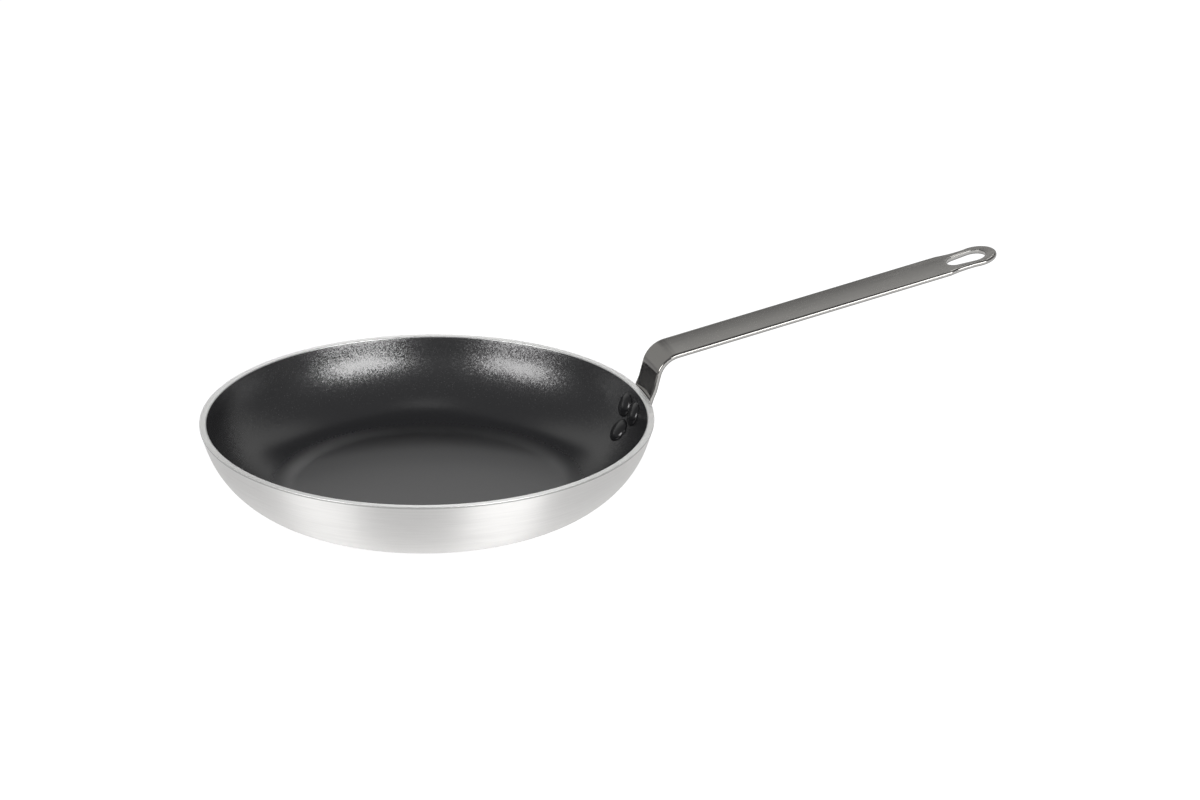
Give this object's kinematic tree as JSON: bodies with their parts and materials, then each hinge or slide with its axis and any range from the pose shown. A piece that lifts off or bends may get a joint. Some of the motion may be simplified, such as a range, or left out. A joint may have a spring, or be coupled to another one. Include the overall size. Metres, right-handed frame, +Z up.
{
  "type": "omelette pan",
  "caption": "Shallow round frying pan with sweeping low walls, a black non-stick inside and a riveted flat strip handle with a hanging slot.",
  "frame": {"origin": "centre of the pan's flat underside, on the surface that it stands on", "axes": "+Z up through the bowl's mouth, +X along the handle"},
  "size_m": [0.5145, 0.28, 0.1179],
  "materials": {
    "brushed_aluminium": "brushed in fine lines round the pan, turned flat and bright on the rim",
    "nonstick_coating": "satin black non-stick coat with a fine sparkle",
    "strip_steel": "smooth grey strip steel with rounded bright edges",
    "rivet_metal": "bare satin metal",
    "rivet_coating": "smooth glossy black coat"
  },
  "bodies": {
    "root": {"pan_body": "brushed_aluminium", "nonstick_film": "nonstick_coating", "handle": "strip_steel", "rivet_upper_rear": "rivet_metal", "rivet_upper_front": "rivet_metal", "rivet_lower": "rivet_metal", "film_cap_upper_rear": "rivet_coating", "film_cap_upper_front": "rivet_coating", "film_cap_lower": "rivet_coating"}
  },
  "joints": []
}
